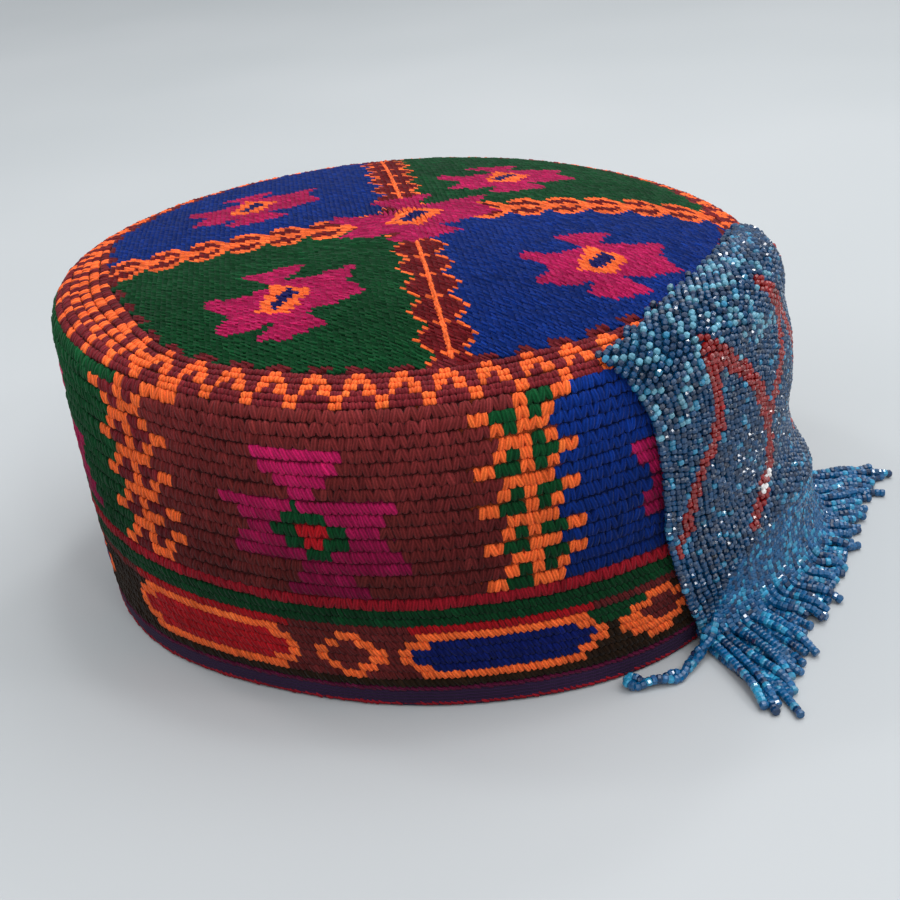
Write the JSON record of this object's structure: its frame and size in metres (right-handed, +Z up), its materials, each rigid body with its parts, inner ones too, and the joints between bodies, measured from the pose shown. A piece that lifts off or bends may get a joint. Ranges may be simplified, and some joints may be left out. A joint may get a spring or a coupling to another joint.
{
  "type": "tubeteika skullcap with beaded flap",
  "caption": "Round embroidered skullcap with a flat crown, patterned side panels and border, and a beaded flap with a bead fringe over one side.",
  "frame": {"origin": "centre of the underside of the whole part's box, on the surface that the cap rests on", "axes": "+Z up out of the crown, -Y towards the front panel, +X towards the beaded flap"},
  "size_m": [0.2238, 0.1964, 0.0914],
  "materials": {
    "crown_cloth": "matte",
    "panel_cloth": "matte",
    "band_cloth": "matte",
    "hem_tape": "matte",
    "glass_beads": "gloss",
    "fringe_beads": "gloss"
  },
  "bodies": {
    "root": {"crown": "crown_cloth", "side_wall": "panel_cloth", "lower_band": "band_cloth", "hem_binding": "hem_tape", "bead_flap": "glass_beads", "bead_fringe": "fringe_beads"}
  },
  "joints": []
}
